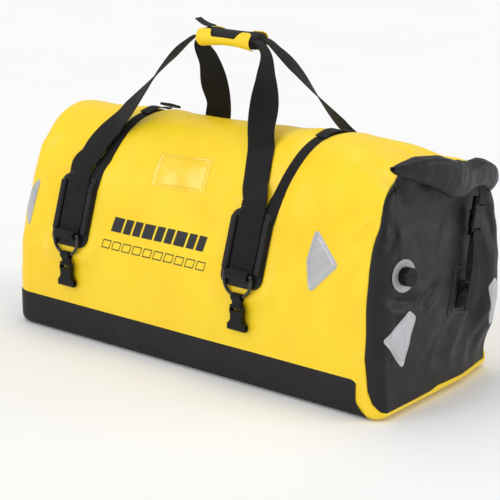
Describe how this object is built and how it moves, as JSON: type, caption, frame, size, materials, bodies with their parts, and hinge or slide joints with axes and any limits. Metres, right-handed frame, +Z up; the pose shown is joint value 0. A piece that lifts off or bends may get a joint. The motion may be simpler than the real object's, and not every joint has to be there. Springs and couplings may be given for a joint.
{
  "type": "duffel bag",
  "caption": "Roll-top waterproof duffel bag with carry handles, lashing rings and hanging buckle sockets, compression straps and an air valve.",
  "frame": {"origin": "centre of the base, on the surface it stands on", "axes": "+X along the bag towards the roll-down mouth, -Y front, +Z up"},
  "size_m": [0.8687, 0.3604, 0.558],
  "materials": {
    "yellow_tarpaulin": "semi-matt coated tarpaulin",
    "black_tarpaulin": "semi-matt coated tarpaulin",
    "base_tarpaulin": "heavier matt coated tarpaulin",
    "webbing": "woven polyester webbing",
    "moulded_pad": "moulded, satin",
    "buckle_plastic": "moulded acetal, satin",
    "coated_ring": "black coated steel, gloss",
    "reflective_film": "glass-bead reflective film",
    "clear_film": "clear vinyl",
    "grey_flange": "moulded soft vinyl",
    "seal_rubber": "moulded",
    "stiffener_plastic": "extruded strip",
    "hook_and_loop": "hook-and-loop tape"
  },
  "bodies": {
    "bag": {"main_shell": "yellow_tarpaulin", "base_cover": "base_tarpaulin", "closed_end_panel": "black_tarpaulin", "roll_end_panel": "black_tarpaulin", "end_foot_band": "yellow_tarpaulin", "side_reflectors_front": "reflective_film", "side_reflectors_rear": "reflective_film", "roll_end_reflectors": "reflective_film", "closed_end_reflectors": "reflective_film", "card_window": "clear_film", "valve_flange": "grey_flange", "valve_body": "buckle_plastic", "valve_back_nut": "buckle_plastic", "closure_socket": "buckle_plastic", "closure_ring": "coated_ring", "closure_ring_loop": "webbing", "closure_anchor_patch": "black_tarpaulin", "closure_strap": "webbing", "closure_tail": "webbing", "compression_strap_left": "webbing", "compression_strap_right": "webbing", "strap_adjuster_left": "buckle_plastic", "strap_adjuster_right": "buckle_plastic", "anchor_pad_front_left": "moulded_pad", "anchor_webbing_front_left": "webbing", "anchor_pad_front_right": "moulded_pad", "anchor_webbing_front_right": "webbing", "anchor_pad_rear_left": "moulded_pad", "anchor_webbing_rear_left": "webbing", "anchor_pad_rear_right": "moulded_pad", "anchor_webbing_rear_right": "webbing"},
    "roll": {"rolled_mouth": "black_tarpaulin", "mouth_stiffener": "stiffener_plastic", "closure_tab": "webbing", "closure_plug": "buckle_plastic"},
    "front_handle": {"front_handle_webbing": "webbing", "grip_wrap_front": "yellow_tarpaulin", "grip_hook_strip": "hook_and_loop"},
    "rear_handle": {"rear_handle_webbing": "webbing", "grip_wrap_rear": "yellow_tarpaulin", "grip_loop_strip": "hook_and_loop"},
    "valve_lift": {"valve_stem": "buckle_plastic", "valve_seal": "seal_rubber"},
    "valve_knob": {"valve_cap": "buckle_plastic"},
    "ring_front_left": {"d_ring_front_left": "coated_ring"},
    "socket_front_left": {"hang_loop_front_left": "webbing", "hanging_socket_front_left": "buckle_plastic"},
    "ring_front_right": {"d_ring_front_right": "coated_ring"},
    "socket_front_right": {"hang_loop_front_right": "webbing", "hanging_socket_front_right": "buckle_plastic"},
    "ring_rear_left": {"d_ring_rear_left": "coated_ring"},
    "socket_rear_left": {"hang_loop_rear_left": "webbing", "hanging_socket_rear_left": "buckle_plastic"},
    "ring_rear_right": {"d_ring_rear_right": "coated_ring"},
    "socket_rear_right": {"hang_loop_rear_right": "webbing", "hanging_socket_rear_right": "buckle_plastic"}
  },
  "joints": [
    {"name": "roll_lift", "type": "slide", "parent": "bag", "child": "roll", "axis": [0, 0.2079, 0.9781], "range_m": [0, 0.09]},
    {"name": "front_handle_swing", "type": "hinge", "parent": "bag", "child": "front_handle", "pos_m": [0, -0.12943, 0.29339], "axis": [1, 0, 0], "range_deg": [0, 120]},
    {"name": "rear_handle_swing", "type": "hinge", "parent": "bag", "child": "rear_handle", "pos_m": [0, 0.12943, 0.29339], "axis": [-1, 0, 0], "range_deg": [0, 120]},
    {"name": "valve_stem_lift", "type": "slide", "parent": "bag", "child": "valve_lift", "axis": [0.9872, -0.1463, 0.0638], "range_m": [0, 0.003]},
    {"name": "valve_knob_turn", "type": "hinge", "parent": "valve_lift", "child": "valve_knob", "pos_m": [0.41775, -0.117, 0.231], "axis": [0.9872, -0.1463, 0.0638], "range_deg": [0, 540]},
    {"name": "ring_swing_front_left", "type": "hinge", "parent": "bag", "child": "ring_front_left", "pos_m": [-0.262, -0.17125, 0.19026], "axis": [-1, 0, 0], "range_deg": [0, 100]},
    {"name": "socket_swing_front_left", "type": "hinge", "parent": "ring_front_left", "child": "socket_front_left", "pos_m": [-0.262, -0.17125, 0.15226], "axis": [-1, 0, 0], "range_deg": [0, 80]},
    {"name": "ring_swing_front_right", "type": "hinge", "parent": "bag", "child": "ring_front_right", "pos_m": [0.131, -0.17125, 0.19026], "axis": [-1, 0, 0], "range_deg": [0, 100]},
    {"name": "socket_swing_front_right", "type": "hinge", "parent": "ring_front_right", "child": "socket_front_right", "pos_m": [0.131, -0.17125, 0.15226], "axis": [-1, 0, 0], "range_deg": [0, 80]},
    {"name": "ring_swing_rear_left", "type": "hinge", "parent": "bag", "child": "ring_rear_left", "pos_m": [-0.131, 0.17125, 0.19026], "axis": [1, 0, 0], "range_deg": [0, 100]},
    {"name": "socket_swing_rear_left", "type": "hinge", "parent": "ring_rear_left", "child": "socket_rear_left", "pos_m": [-0.131, 0.17125, 0.15226], "axis": [1, 0, 0], "range_deg": [0, 80]},
    {"name": "ring_swing_rear_right", "type": "hinge", "parent": "bag", "child": "ring_rear_right", "pos_m": [0.262, 0.17125, 0.19026], "axis": [1, 0, 0], "range_deg": [0, 100]},
    {"name": "socket_swing_rear_right", "type": "hinge", "parent": "ring_rear_right", "child": "socket_rear_right", "pos_m": [0.262, 0.17125, 0.15226], "axis": [1, 0, 0], "range_deg": [0, 80]}
  ],
  "couplings": [
    {"joint": "valve_stem_lift", "follows": "valve_knob_turn", "m_per_rad": 0.000318}
  ]
}
